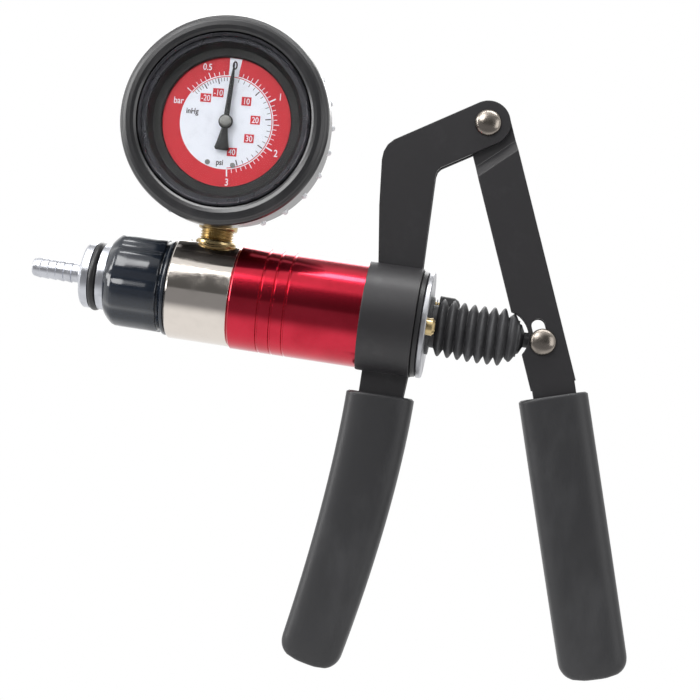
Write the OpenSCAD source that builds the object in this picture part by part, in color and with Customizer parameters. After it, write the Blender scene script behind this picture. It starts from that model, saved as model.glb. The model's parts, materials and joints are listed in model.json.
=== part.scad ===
// Hand vacuum pump with a dial gauge, a selector collar and a two-lever squeeze handle.
// The barrel runs along X, the gauge stands up along Z and its dial faces -Y.
// The origin is where a pushed-on hose stops, on the barrel's axis. Millimetres.

/* [Nozzle and selector] */
// Outer radius of the nozzle's flange
nozzle_r = 12; // [11:0.5:13]
// Crest radius of the hose barbs
barb_r = 3.9; // [3.5:0.1:4.2]
// Number of hose barbs
barb_n = 5; // [3:1:6]
// Length of the barbed tail
barb_len = 17.8; // [14:0.2:22]
// Radius over the lobes of the selector collar
collar_r = 17.5; // [16.5:0.5:19]
// Length of the selector collar
collar_len = 23.4; // [20:0.2:28]
// Number of lobes round the collar
lobe_n = 8; // [6:1:12]

/* [Head and barrel] */
// Outer radius of the plated head
head_r = 18.5; // [17.5:0.5:20]
// Length of the plated head
head_len = 23.4; // [21:0.2:30]
// Outer radius of the barrel
barrel_r = 19; // [17.5:0.5:23]
// Wall of the barrel
barrel_wall = 2.5; // [2:0.1:3]
// Length of the barrel
barrel_len = 66.6; // [56:0.2:80]
// Radius of the piston rod
rod_r = 4; // [3.4:0.1:4.8]

/* [Gauge] */
// Outer radius of the gauge's rubber boot
gauge_r = 37.6; // [34:0.2:45]
// Clear window radius of the gauge
window_r = 28; // [26:0.5:30]
// Gap between the head and the boot, filled by the brass stem
stem_gap = 5.6; // [5:0.2:9]

/* [Levers] */
// Height of the top pivot above the barrel's axis
pivot_h = 75.3; // [70:0.1:84]
// Distance of the pivot beyond the barrel's end
pivot_out = 14.6; // [13:0.2:18]
// Distance of the rod's pin beyond the pivot when the lever is open
pin_out = 31; // [28:0.5:34]
// Squeeze angle of the lever
squeeze = 15; // [10:0.5:15]
// Thickness of the stamped lever plates
plate_t = 1.6; // [1.4:0.1:2]
// Width of the lever strips
lever_w = 16.2; // [15:0.2:18]
// Radius of the pin in the lever's slot
pin_r = 2.1; // [1.8:0.1:2.4]
// Radius of the domed rivet heads
rivet_head_r = 4.8; // [4.4:0.1:5.4]
// Width of the grips
grip_w = 24.6; // [22:0.2:28]
// Length of the grips
grip_len = 100; // [84:1:120]
// Thickness of the grips
grip_t = 16; // [15:0.5:19]

/* [Hidden] */
$fn = 96;
// Running clearance of a turning or sliding fit, radial
run = 0.05;
// Side gap between levers
side = 0.2;
// Radius of the nozzle's spigot that carries the collar
spigot_r = 9;
// Where the nozzle's flange ends
flange_x1 = 11.7;
// Station of the head, the barrel and the clamp band along X
head_x0 = flange_x1 + collar_len + 0.4;
head_x1 = head_x0 + head_len;
barrel_x1 = head_x1 + barrel_len;
bore_r = barrel_r - barrel_wall;
band_w = 19.3;
band_x0 = barrel_x1 - band_w;
gasket_t = 2.2;
plate_x0 = barrel_x1 + gasket_t;
end_t = 2;
plate_x1 = plate_x0 + end_t;
// Gauge stem and centre
stem_x = head_x0 + head_len * 0.54;
flat_z = head_r - 1.2;
gauge_z = flat_z + stem_gap + gauge_r;
// Radii inside the gauge follow the boot
case_r = gauge_r - 3.3;
surround_r = window_r + 1.2;
dial_r = window_r * 0.83;
needle_len = dial_r - 1.2;
// Pivot and pin
pivot_x = barrel_x1 + pivot_out;
pin_x = pivot_x + pin_out;
lever_a = atan(pin_out / pivot_h);
lever_reach = sqrt(pin_out * pin_out + pivot_h * pivot_h);
reach_in = pivot_h / cos(lever_a - squeeze);
slot_travel = lever_reach - reach_in;
// The rod's travel for the whole squeeze
stroke = pin_out - pivot_h * tan(lever_a - squeeze) + 0.3;
slot_r = pin_r + 0.4;
// Half gaps between the plate pairs
lever_top_gap = 0.05;
clamp_gap = lever_top_gap + plate_t + side;
clamp_out = clamp_gap + plate_t;
lever_gap = clamp_gap + 1.6;
lever_out = lever_gap + plate_t;
band_in = barrel_r + 0.05;
band_out = band_in + plate_t;
// Piston stations at rest
piston_x1 = barrel_x1 - 4;
piston_x0 = piston_x1 - 9;
bellows_x1 = pin_x - 8.9;
bellows_r = 10.4;
// Release button and vent on the end plate
button_y = 12.2;
button_z = 8.1;
button_r = 3.9;
vent_y = -15;
vent_z = -1;

black = [0.13, 0.13, 0.14];
rubber = [0.16, 0.16, 0.17];
red = [0.72, 0.1, 0.15];
nickel = [0.82, 0.79, 0.76];
alu = [0.88, 0.89, 0.91];
brass = [0.83, 0.63, 0.32];
steel = [0.66, 0.67, 0.69];
pale = [0.93, 0.94, 0.97];

// ---------- helpers ----------
// A solid of revolution about the X axis; the points are [x, r].
module turned(points) {
    rotate([0, 90, 0])
        rotate_extrude()
            polygon([for (p = points) [p[1], p[0]]]);
}

// A solid of revolution about the gauge's axis; the points are [y, r], y towards the back.
module faced(points) {
    translate([stem_x, 0, gauge_z])
        rotate([-90, 0, 0])
            rotate_extrude()
                polygon([for (p = points) [p[1], p[0]]]);
}

// A bar along X from x0 to x1.
module bar(x0, x1, r) {
    translate([x0, 0, 0])
        rotate([0, 90, 0])
            cylinder(h = x1 - x0, r = r);
}

// A bar along Y from y0 to y1, at x and z.
module pin_y(x, z, y0, y1, r) {
    translate([x, y0, z])
        rotate([-90, 0, 0])
            cylinder(h = y1 - y0, r = r);
}

// A flat outline in the XZ plane, thickened from y0 to y1.
module slab_y(y0, y1) {
    for (i = [0 : $children - 1])
        translate([0, y1, 0])
            rotate([90, 0, 0])
                linear_extrude(y1 - y0)
                    children(i);
}

// A domed rivet head that faces -Y, its flat face at y.
module dome(x, z, y, r, h) {
    big = (r * r + h * h) / (2 * h);
    translate([x, y, z])
        rotate([90, 0, 0])
            rotate_extrude()
                intersection() {
                    translate([0, h - big])
                        circle(r = big, $fn = 128);
                    square([r, h]);
                }
}

// A helical coil along X: its cross cut is a bent lens, as wide as the pitch makes it.
module coil(x0, len, r, wire, turns) {
    pitch = len / turns;
    half = 359 * wire / pitch;
    steps = 5;
    a = [for (i = [-steps : steps]) half * sin(90 * i / steps)];
    w = [for (i = [-steps : steps]) wire * cos(90 * i / steps)];
    n = 2 * steps;
    translate([x0, 0, 0])
        rotate([0, 90, 0])
            linear_extrude(height = len, twist = -360 * turns, slices = turns * 14, $fn = 8)
                polygon(concat(
                    [for (i = [0 : n]) (r + w[i]) * [cos(a[i]), sin(a[i])]],
                    [for (i = [n - 1 : -1 : 1]) (r - w[i]) * [cos(a[i]), sin(a[i])]]));
}

// ---------- nozzle and selector ----------
barb_pitch = (barb_len - 3.1) / barb_n;
barb_root = barb_r - 0.65;

module hose_nozzle() {
    color(alu)
        difference() {
            union() {
                turned(concat(
                    [[-barb_len, 0], [-barb_len, barb_root - 0.35], [-barb_len + 0.4, barb_root]],
                    [for (i = [0 : barb_n - 1], k = [0 : 1])
                        [-barb_len + 0.4 + barb_pitch * (i + 1) - (k == 0 ? 0.35 : 0),
                         k == 0 ? barb_r - 0.22 * (barb_n - 1 - i) / barb_n
                                : barb_root + 0.25]],
                    [[0, barb_root + 0.25], [0, barb_r + 0.6], [0.5, barb_r + 1.0],
                     [1.6, barb_r + 1.2],
                     [2.3, nozzle_r - 0.8], [3.1, nozzle_r], [5.55, nozzle_r],
                     [5.55, nozzle_r - 2.25], [8.65, nozzle_r - 2.25], [8.65, nozzle_r],
                     [flange_x1 - 0.3, nozzle_r], [flange_x1, nozzle_r - 0.3],
                     [flange_x1, 0]]));
                bar(flange_x1 - 1, head_x0 + 3, spigot_r);
            }
            bar(-barb_len - 1, head_x0 + 4, 1.6);
        }
}

module nozzle_oring() {
    color(black)
        translate([7.1, 0, 0])
            rotate([0, 90, 0])
                rotate_extrude()
                    translate([nozzle_r - 0.75, 0])
                        circle(r = 1.45, $fn = 32);
}

// The lobes are flats with shallow grooves between them and a flared rim at the back.
collar_x0 = flange_x1 + 0.2;
collar_x1 = collar_x0 + collar_len;
module selector_collar() {
    groove = 360 / lobe_n;
    color([0.17, 0.19, 0.23])
        difference() {
            union() {
                intersection() {
                    turned([[collar_x0, 0], [collar_x0, collar_r - 3.6],
                        [collar_x0 + 1.2, collar_r - 2.2], [collar_x0 + 3.4, collar_r - 0.3],
                        [collar_x0 + 4.4, collar_r], [collar_x1 - 2.8, collar_r],
                        [collar_x1 - 2.8, 0]]);
                    union() {
                        for (i = [0 : lobe_n - 1])
                            rotate([groove * (i + 0.5), 0, 0])
                                translate([collar_x0 - 1, 0, 0])
                                    rotate([0, 90, 0])
                                        linear_extrude(collar_len + 2)
                                            translate([3.1, 0])
                                                circle(r = collar_r - 3.1, $fn = 64);
                    }
                }
                turned([[collar_x1 - 3.4, 0], [collar_x1 - 3.4, collar_r - 1.4],
                    [collar_x1 - 2.2, collar_r - 1.0], [collar_x1 - 1.2, collar_r + 0.3],
                    [collar_x1 - 0.4, collar_r + 0.3], [collar_x1, collar_r - 0.1],
                    [collar_x1, 0]]);
            }
            bar(collar_x0 - 1, collar_x1 + 1, spigot_r + run);
            for (a = [0, 90])
                rotate([a, 0, 0])
                    translate([collar_x1 + 0.9, 0, -13.4])
                        sphere(r = 1.6, $fn = 32);
        }
}

module detent_ball() {
    color(steel)
        translate([head_x0 + 1.45, 0, -13.4])
            sphere(r = 1.45, $fn = 48);
}

module detent_spring() {
    color(steel)
        translate([0, 0, -13.4])
            coil(head_x0 + 2.95, 4.9, 1.0, 0.22, 4);
}

// ---------- head ----------
module pump_head() {
    color(nickel)
        difference() {
            union() {
                turned([[head_x0, 0], [head_x0, head_r - 0.8], [head_x0 + 0.8, head_r],
                    [head_x1 - 0.5, head_r], [head_x1, head_r - 0.5], [head_x1, bore_r - 0.1],
                    [head_x1 + 4, bore_r - 0.1], [head_x1 + 4, 0]]);
            }
            // flat and threaded port for the gauge's stem
            translate([stem_x - 9, -9, flat_z])
                cube([18, 18, 5]);
            translate([stem_x, 0, 5])
                cylinder(h = 20, r = 5);
            translate([stem_x, 0, 0])
                cylinder(h = 6, r = 1.8);
            // seat of the nozzle's spigot, and the air way
            bar(head_x0 - 1, head_x0 + 3, spigot_r);
            bar(head_x0 + 2, head_x1 - 4, 1.8);
            // recess of the valve plate and the groove of the head's seal
            bar(head_x1 - 5, head_x1 + 5, bore_r - 2.6);
            turned([[head_x1 + 0.8, bore_r - 1.7], [head_x1 + 0.8, bore_r],
                [head_x1 + 2.9, bore_r], [head_x1 + 2.9, bore_r - 1.7]]);
            // pocket of the detent's ball and spring
            translate([head_x0 - 1, 0, -13.4])
                rotate([0, 90, 0])
                    cylinder(h = 9, r = 1.5);
        }
}

module head_seal() {
    color(black)
        translate([head_x1 + 1.85, 0, 0])
            rotate([0, 90, 0])
                rotate_extrude()
                    translate([bore_r - 0.86, 0])
                        circle(r = 0.83, $fn = 24);
}

valve_x0 = head_x1 - 5;
module valve_plate() {
    color(steel)
        difference() {
            bar(valve_x0, valve_x0 + 3.4, bore_r - 2.62);
            for (z = [-6.5, 6.5])
                translate([0, 0, z]) {
                    bar(valve_x0 - 1, valve_x0 + 5, 1.2);
                    for (a = [0 : 60 : 300])
                        translate([0, 3 * cos(a), 3 * sin(a)])
                            bar(valve_x0 - 1, valve_x0 + 5, 0.6);
                }
        }
}

// A rubber umbrella valve: a stalk through the plate and a thin cap.
module umbrella(x, z, dir) {
    translate([x, 0, z])
        mirror([dir < 0 ? 1 : 0, 0, 0])
            turned([[-3.4, 0], [-3.4, 1.1], [-0.02, 1.1], [-0.02, 4.4], [0.5, 4.2],
                [1.2, 1.6], [1.3, 0]]);
}

module intake_valve() {
    color(black)
        umbrella(valve_x0 + 3.44, -6.5, 1);
}

module exhaust_valve() {
    color(black)
        umbrella(valve_x0 + 3.44, 6.5, 1);
}

// ---------- gauge ----------
module gauge_stem() {
    root = 5.55;
    color(brass)
        difference() {
            union() {
                translate([stem_x, 0, flat_z - 9])
                    cylinder(h = 9.2, r = 4.98);
                translate([stem_x, 0, flat_z - 9])
                    rotate_extrude()
                        polygon(concat([[0, 0], [4.9, 0], [4.9, 11], [root, 11]],
                            [for (i = [0 : 3], k = [0 : 1])
                                [root + (k == 0 ? 0 : 0.5), 11.1 + 1.0 * i + (k == 0 ? 0 : 0.5)]],
                            [[root, 14.9], [6.8, 14.9], [7.1, 15.4], [7.1, 16.6], [6.6, 17.2],
                             [5.5, 17.2], [5.5, 21], [4.4, 21], [4.4, 28], [0, 28]]));
                // socket block inside the case
                translate([stem_x - 6, -4.5, flat_z + 16])
                    cube([12, 9, 8]);
            }
            translate([stem_x, 0, flat_z - 10])
                cylinder(h = 28, r = 1.6);
        }
}

module stem_nut() {
    color(brass)
        difference() {
            translate([stem_x, 0, flat_z])
                rotate_extrude()
                    polygon([[5.0, 0], [7.1, 0], [7.3, 0.4], [7.3, 1.2], [6.7, 1.9], [5.0, 1.9]]);
        }
}

// Front and back of the gauge along Y
boot_y0 = -24;
boot_y1 = -11;
case_y0 = -20;
case_y1 = 6;

module gauge_case() {
    color(black)
        difference() {
            faced([[case_y0, case_r - 1.2], [case_y0, case_r], [case_y1 - 2, case_r],
                [case_y1, case_r - 2], [case_y1, 0], [case_y1 - 1.4, 0],
                [case_y1 - 1.4, case_r - 2.6], [case_y1 - 2.6, case_r - 1.2]]);
            translate([stem_x, 0, gauge_z - case_r - 3])
                cylinder(h = 8, r = 5.52);
        }
}

// The boot is one rubber moulding: a rolled front lip and a thinner back skirt.
module gauge_boot() {
    color(black)
        difference() {
            faced([[boot_y0 + 1.0, window_r + 3.4], [boot_y0 + 0.35, window_r + 4.2],
                [boot_y0, window_r + 5.4], [boot_y0 + 0.1, gauge_r - 2.7],
                [boot_y0 + 0.55, gauge_r - 1.7], [boot_y0 + 1.1, gauge_r - 1.15],
                [boot_y0 + 1.35, gauge_r - 1.35], [boot_y0 + 1.6, gauge_r - 0.95],
                [boot_y0 + 2.2, gauge_r - 0.35], [boot_y0 + 3.2, gauge_r],
                [boot_y1 - 1.2, gauge_r], [boot_y1 - 0.4, gauge_r - 0.3],
                [boot_y1, gauge_r - 1.3], [boot_y1, gauge_r - 1.9],
                [-8.6, gauge_r - 1.9], [-8.6, gauge_r - 2.4], [-5.2, gauge_r - 2.4],
                [-5.2, gauge_r - 1.9], [case_y1 - 3, gauge_r - 1.9],
                [case_y1 - 1.4, gauge_r - 2.4], [case_y1 - 1.4, case_r + 0.03],
                [case_y0 - 0.1, case_r + 0.03], [case_y0 - 0.1, window_r + 3.4]]);
            translate([stem_x, 0, gauge_z - gauge_r - 1])
                cylinder(h = 9, r = 7.3);
        }
}

// A clear band round the boot with moulded nubs.
module nub_ring() {
    color([0.9, 0.91, 0.93])
        difference() {
            union() {
                faced([[-8.55, gauge_r - 2.38], [-8.55, gauge_r - 1.75],
                    [-5.25, gauge_r - 1.75], [-5.25, gauge_r - 2.38]]);
                for (i = [1 : 23])
                    translate([stem_x, -6.9, gauge_z])
                        rotate([0, 193.85 + 13.85 * i, 0])
                            translate([0, 0, gauge_r - 2.2])
                                cylinder(h = 1.65, r = 1.2, $fn = 8);
            }
            translate([stem_x, 0, gauge_z - gauge_r - 1])
                cylinder(h = 9, r = 7.4);
        }
}

module bezel_ring() {
    color(steel)
        faced([[-22.6, window_r + 1.7], [-23.1, window_r + 2.1], [-23.1, window_r + 2.7],
            [-22.7, window_r + 3.1], [-20.1, window_r + 3.1], [-20.1, window_r + 0.1],
            [-20.9, window_r + 0.1], [-20.9, window_r + 1.7]]);
}

module lens() {
    color([0.9, 0.95, 1, 0.35])
        faced([[-22.2, 0], [-22.2, window_r + 0.9], [-21.9, window_r + 1.6],
            [-20.95, window_r + 1.6], [-20.95, 0]]);
}

module dial_surround() {
    color(black)
        faced([[-19.9, window_r - 0.2], [-19.9, case_r - 1.25], [-14.2, case_r - 1.25],
            [-14.2, dial_r], [-16.6, dial_r], [-17.2, dial_r + 0.5], [-17.2, window_r - 1.6]]);
}

module dial_plate() {
    color(red)
        difference() {
            faced([[-15.9, 0], [-15.9, dial_r - 0.02], [-15.1, dial_r - 0.02], [-15.1, 0]]);
            pin_y(stem_x, gauge_z, -17, -14, 1.6);
            for (dx = [-4.6, 4.6])
                pin_y(stem_x + dx, gauge_z - 15, -17, -14, 0.52);
        }
}

module dial_screws() {
    color(black)
        for (dx = [-4.6, 4.6]) {
            pin_y(stem_x + dx, gauge_z - 15, -16.3, -15.9, 0.9);
            pin_y(stem_x + dx, gauge_z - 15, -16, -12.2, 0.5);
        }
}

needle_y = -18.1;
module needle() {
    color(black)
        difference() {
            translate([stem_x, 0, gauge_z])
                slab_y(needle_y, needle_y + 0.5) {
                    polygon([[-0.9, 0], [-2.2, -9.2], [-1.3, -10.2], [0, -10.6],
                        [1.3, -10.2], [2.2, -9.2], [1.0, 0], [0.85, needle_len - 6],
                        [0, needle_len], [-0.85, needle_len - 6]]);
                    circle(r = 2.6);
                }
            pin_y(stem_x, gauge_z, needle_y - 1, needle_y + 1, 0.75);
        }
}

module needle_cap() {
    color(steel)
        union() {
            translate([stem_x, needle_y - 0.02, gauge_z])
                rotate([90, 0, 0])
                    rotate_extrude()
                        polygon([[0, 0], [2.1, 0], [2.1, 0.5], [1.6, 0.9], [0, 1.0]]);
            pin_y(stem_x, gauge_z, needle_y - 0.1, needle_y + 0.5, 0.74);
        }
}

pinion_r = 2.2;
sector_r = 13;
module gauge_pinion() {
    color(brass)
        union() {
            pin_y(stem_x, gauge_z, needle_y + 0.55, 1.9, 0.74);
            pin_y(stem_x, gauge_z, -9.6, -6.4, pinion_r);
        }
}

// The sector swings on its own arbor beside the pinion.
sector_x = stem_x;
sector_z = gauge_z - pinion_r - sector_r - 0.3;
module gauge_sector() {
    color(brass)
        union() {
            slab_y(-9.2, -7.6)
                translate([sector_x, sector_z])
                    difference() {
                        union() {
                            intersection() {
                                circle(r = sector_r);
                                polygon([[0, -2], [-sector_r * 0.3, sector_r * 1.15],
                                    [sector_r * 0.75, sector_r * 1.1]]);
                            }
                            circle(r = 1.8);
                            polygon([[-1.5, 0], [-1.2, -4.4], [1.2, -4.4], [1.5, 0]]);
                        }
                        circle(r = 0.8);
                        translate([0, -3.4])
                            circle(r = 0.55);
                    }
        }
}

module gauge_link() {
    color(steel)
        slab_y(-7.3, -6.7)
            difference() {
                union() {
                    translate([sector_x, sector_z - 3.4])
                        circle(r = 1.2);
                    translate([sector_x, sector_z - 4.0])
                        square([14.5, 1.2]);
                    translate([sector_x + 14.5, sector_z - 3.4])
                        circle(r = 1.2);
                }
                translate([sector_x, sector_z - 3.4])
                    circle(r = 0.6);
            }
}

// Two movement plates held apart by pillars, with the arbors' bearing holes.
module gauge_movement() {
    color(brass)
        difference() {
            union() {
                for (y = [-13.2, 0.2])
                    slab_y(y, y + 1.2)
                        translate([stem_x - 8.5, flat_z + 24])
                            square([17, gauge_z + 6 - flat_z - 24]);
                for (dx = [-7, 7])
                    pin_y(stem_x + dx, gauge_z + 4.4, -13, 1, 1.2);
                for (dx = [-7, 7])
                    pin_y(stem_x + dx, sector_z - 1, -13, 1, 1.2);
                pin_y(sector_x, sector_z, -13, 1, 0.75);
            }
            pin_y(stem_x, gauge_z, -15, 3, 0.79);
            for (dx = [-4.6, 4.6])
                pin_y(stem_x + dx, gauge_z - 15, -14, -11, 0.51);
        }
}

// A curved tube with a closed tip, fed from the stem's block.
module bourdon_tube() {
    color(brass)
        translate([stem_x, -2.2, gauge_z])
            rotate([90, 0, 0])
                rotate([0, 0, -80])
                    rotate_extrude(angle = 255)
                        translate([case_r - 6.5, 0])
                            difference() {
                                square([1.8, 6.4], center = true);
                                square([1.0, 5.6], center = true);
                            }
}

// ---------- barrel, piston and rod ----------
module barrel() {
    color(red)
        difference() {
            turned(concat(
                [[head_x1, bore_r], [head_x1, barrel_r - 0.6], [head_x1 + 0.6, barrel_r]],
                [for (i = [0 : 2], k = [0 : 3])
                    [head_x1 + 11.0 + 4.7 * i + [-0.45, -0.25, 0.25, 0.45][k],
                     barrel_r - [0, 0.45, 0.45, 0][k]]],
                [[barrel_x1 - 0.4, barrel_r], [barrel_x1, barrel_r - 0.4], [barrel_x1, bore_r]]));
        }
}

module piston() {
    color(alu)
        difference() {
            turned([[piston_x0, rod_r], [piston_x0, bore_r - 0.5],
                [piston_x0 + 1.4, bore_r - run], [piston_x0 + 1.8, bore_r - run],
                [piston_x0 + 1.8, bore_r - 1.9], [piston_x0 + 3.8, bore_r - 1.9],
                [piston_x0 + 3.8, bore_r - run], [piston_x0 + 5.2, bore_r - run],
                [piston_x0 + 5.2, bore_r - 1.9], [piston_x0 + 7.2, bore_r - 1.9],
                [piston_x0 + 7.2, bore_r - run], [piston_x1 - 0.4, bore_r - run],
                [piston_x1, bore_r - 0.4], [piston_x1, rod_r]]);
        }
}

module piston_seals() {
    color(black)
        for (x = [piston_x0 + 2.8, piston_x0 + 6.2])
            translate([x, 0, 0])
                rotate([0, 90, 0])
                    rotate_extrude()
                        translate([bore_r - 0.97, 0])
                            circle(r = 0.92, $fn = 24);
}

module piston_rod() {
    color(steel)
        union() {
            bar(piston_x0 - 2.6, pin_x - 12, rod_r);
            // clenched head in front of the piston
            turned([[piston_x0 - 4.6, 0], [piston_x0 - 4.6, rod_r + 1.2],
                [piston_x0 - 4.0, rod_r + 1.8], [piston_x0 - 0.02, rod_r + 1.8],
                [piston_x0 - 0.02, 0]]);
        }
}

module return_spring() {
    color(steel)
        coil(head_x1 + 4.2, piston_x0 - head_x1 - 4.3, bore_r - 4.6, 0.8, 8);
}

module end_gasket() {
    color(black)
        difference() {
            turned([[barrel_x1 + 0.02, rod_r + 4], [barrel_x1 + 0.02, barrel_r + 0.1],
                [barrel_x1 + 0.4, barrel_r + 0.4], [plate_x0 - 0.4, barrel_r + 0.1],
                [plate_x0 - 0.02, barrel_r - 0.5], [plate_x0 - 0.02, rod_r + 4]]);
            translate([0, button_y, button_z])
                bar(barrel_x1 - 1, plate_x0 + 1, 1.9);
        }
}

module end_plate() {
    color(alu)
        difference() {
            turned([[plate_x0, 0], [plate_x0, barrel_r - 0.1], [plate_x0 + 0.35, barrel_r + 0.3],
                [plate_x1 - 0.35, barrel_r + 0.3], [plate_x1, barrel_r - 0.1], [plate_x1, 0]]);
            bar(plate_x0 - 1, plate_x1 + 1, rod_r + 2.5);
            translate([0, vent_y, vent_z])
                bar(plate_x0 - 1, plate_x1 + 1, 2.0);
            translate([0, button_y, button_z])
                bar(plate_x0 - 1, plate_x1 + 1, 1.5 + run);
        }
}

// A flanged bush in the end plate; its flange also holds the bellows' foot.
module rod_bush() {
    color(brass)
        difference() {
            turned([[barrel_x1 - 3.4, rod_r + 1], [barrel_x1 - 3.4, rod_r + 3.9],
                [plate_x0 - 0.05, rod_r + 3.9], [plate_x0 - 0.05, rod_r + 2.48],
                [plate_x1 + 1.2, rod_r + 2.48], [plate_x1 + 1.2, rod_r + run],
                [barrel_x1 - 1.2, rod_r + run], [barrel_x1 - 1.2, rod_r + 1]]);
        }
}

module rod_seal() {
    color(black)
        turned([[barrel_x1 - 3.35, rod_r + 0.35], [barrel_x1 - 3.35, rod_r + 0.97],
            [barrel_x1 - 1.25, rod_r + 0.97], [barrel_x1 - 1.25, rod_r + 0.35]]);
}

bell_n = 8;
bell_x0 = plate_x1 + 2.7;
bell_pitch = (bellows_x1 - 2.0 - bell_x0) / (bell_n - 1);
module bellows() {
    // thin rubber: ridges of radius bellows_r, the last one smaller
    ridge = [for (i = [0 : bell_n - 1]) i == bell_n - 1 ? bellows_r - 2.1 : bellows_r];
    color(rubber)
        difference() {
            turned(concat(
                [[plate_x1 + 0.05, rod_r + 2.6], [plate_x1 + 0.05, bellows_r + 0.1],
                 [plate_x1 + 1.0, bellows_r + 0.1], [plate_x1 + 1.2, bellows_r - 2.2]],
                [for (i = [0 : bell_n - 1], k = [0 : 3])
                    [bell_x0 + bell_pitch * i + [-1.2, -0.45, 0.45, 1.2][k],
                     [bellows_r - 2.3 - (i == bell_n - 1 ? 0.4 : 0), ridge[i] - 0.15,
                      ridge[i] - 0.15, i >= bell_n - 2 ? 6.9 : bellows_r - 2.3][k]]],
                [[bellows_x1 - 0.5, 6.2], [bellows_x1, 6.0], [bellows_x1, 5.55],
                 [bell_x0 + bell_pitch * (bell_n - 1) + 0.9, 5.55],
                 [bell_x0 + bell_pitch * (bell_n - 1) + 0.2, 5.9]],
                [for (i = [bell_n - 2 : -1 : 0], k = [0 : 1])
                    [bell_x0 + bell_pitch * i + [0.9, -0.9][k], 6.6]],
                [[plate_x1 + 1.35, rod_r + 2.6]]));
        }
}

// A round nut that narrows to a flat eye between the lever's plates.
module rod_end() {
    half = lever_gap - 0.3;
    color(rubber)
        difference() {
            union() {
                bar(pin_x - 16, pin_x - 8.6, 5.5);
                turned([[pin_x - 8.7, 0], [pin_x - 8.7, 5.5], [pin_x - 8.1, 5.2],
                    [pin_x - 6.9, half - 0.4], [pin_x - 6.9, 0]]);
                bar(pin_x - 8, pin_x - 2, half - 0.4);
                pin_y(pin_x, 0, -half, half, 4.4);
            }
            bar(pin_x - 17, pin_x - 12, rod_r);
            pin_y(pin_x, 0, -half - 1, half + 1, pin_r);
        }
}

module rod_pin() {
    color(nickel)
        union() {
            pin_y(pin_x, 0, -lever_out - 0.25, lever_out + 0.25, pin_r);
            dome(pin_x, 0, -lever_out - 0.2, rivet_head_r, 2.3);
            mirror([0, 1, 0])
                dome(pin_x, 0, -lever_out - 0.2, rivet_head_r, 2.3);
        }
}

// ---------- vent and release ----------
module vent_fitting() {
    color(brass)
        translate([0, vent_y, vent_z])
            difference() {
                union() {
                    bar(plate_x0 + 0.05, plate_x1 + 0.5, 1.98);
                    turned([[plate_x1, 0], [plate_x1, 3.1], [plate_x1 + 2.2, 3.1],
                        [plate_x1 + 3.0, 2.4], [plate_x1 + 3.0, 0]]);
                }
                bar(plate_x0 - 1, plate_x1 + 4, 1.1);
                bar(plate_x1 + 1.9, plate_x1 + 4, 1.75);
            }
}

button_lift = 2.3;
module release_button() {
    color(rubber)
        translate([0, button_y, button_z])
            turned([[plate_x1 + button_lift, 0], [plate_x1 + button_lift, button_r],
                [plate_x1 + 7.6, button_r - 0.1], [plate_x1 + 9.0, button_r - 0.9],
                [plate_x1 + 9.8, button_r - 2.2], [plate_x1 + 9.8, 0]]);
}

module release_valve() {
    color(brass)
        translate([0, button_y, button_z])
            union() {
                bar(plate_x0 - 1.5, plate_x1 + button_lift, 1.5);
            }
}

module release_spring() {
    color(steel)
        translate([0, button_y, button_z])
            coil(plate_x1 + 0.05, button_lift - 0.1, 2.4, 0.22, 2);
}

// ---------- fixed lever ----------
arm_top_x = pivot_x - 36;
elbow_z = pivot_h - 17;
arm_a = 30;
// The plates' outline: an upper arm, the clamp band, a stub and a tang in the grip.
module clamp_outline(y0, y1) {
    n = [-sin(arm_a), cos(arm_a)];
    half = lever_w / 2;
    slab_y(y0, y1) {
        polygon([
            [band_x0 + 2.6, 18], [arm_top_x + 1.6, elbow_z - 18], [arm_top_x, elbow_z - 1.5],
            [arm_top_x + 0.25, elbow_z + 1.6], [arm_top_x + 1.3, elbow_z + 4.2],
            [arm_top_x + 3.4, elbow_z + 6.4],
            [pivot_x + n[0] * half, pivot_h + n[1] * half],
            [pivot_x - n[0] * half, pivot_h - n[1] * half],
            [band_x0 + 19.4, pivot_h - 18.3], [band_x0 + 18.4, pivot_h - 19.6],
            [band_x0 + 18.0, pivot_h - 21.5],
            [band_x0 + 18.6, 18]]);
        translate([pivot_x, pivot_h])
            circle(r = half - 0.01);
        // the clamp band
        translate([band_x0, -19.6])
            square([band_w, 39.2]);
        // stub and tang
        polygon([
            [band_x0 + 2.4, -17], [band_x0 + 19.2, -17], [band_x0 + 18.4, -28],
            [band_x0 + 17.4, -48], [band_x0 + 14.6, -72], [band_x0 + 10.6, -94],
            [band_x0 + 8.4, -104], [band_x0 - 1.6, -104], [band_x0 + 0.4, -94],
            [band_x0 + 2.0, -72], [band_x0 + 2.6, -48], [band_x0 + 2.4, -28]]);
    }
}

// The plates' side profile in YZ: flat strips and a half ring round the barrel.
module clamp_profile() {
    difference() {
        union() {
            circle(r = band_out, $fn = 128);
            translate([-clamp_out, 0])
                square([plate_t, pivot_h + 20]);
            translate([-clamp_out, -130])
                square([plate_t, 130]);
        }
        circle(r = band_in, $fn = 128);
        translate([-clamp_gap, -140])
            square([60, 300]);
        translate([-60, band_out - 1.2])
            square([60 - clamp_out, 60]);
        translate([-60, -band_out - 58.8])
            square([60 - clamp_out, 60]);
    }
}

module clamp_plate() {
    difference() {
        intersection() {
            clamp_outline(-band_out - 1, 0);
            translate([band_x0 - 30, 0, 0])
                rotate([90, 0, 90])
                    linear_extrude(120)
                        clamp_profile();
        }
        pin_y(pivot_x, pivot_h, -30, 1, 2.6);
        pin_y(band_x0 + 9.5, -60, -30, 1, 2.0);
    }
}

module clamp_plate_near() {
    color(black)
        clamp_plate();
}

module clamp_plate_far() {
    color(black)
        mirror([0, 1, 0])
            clamp_plate();
}

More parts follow.
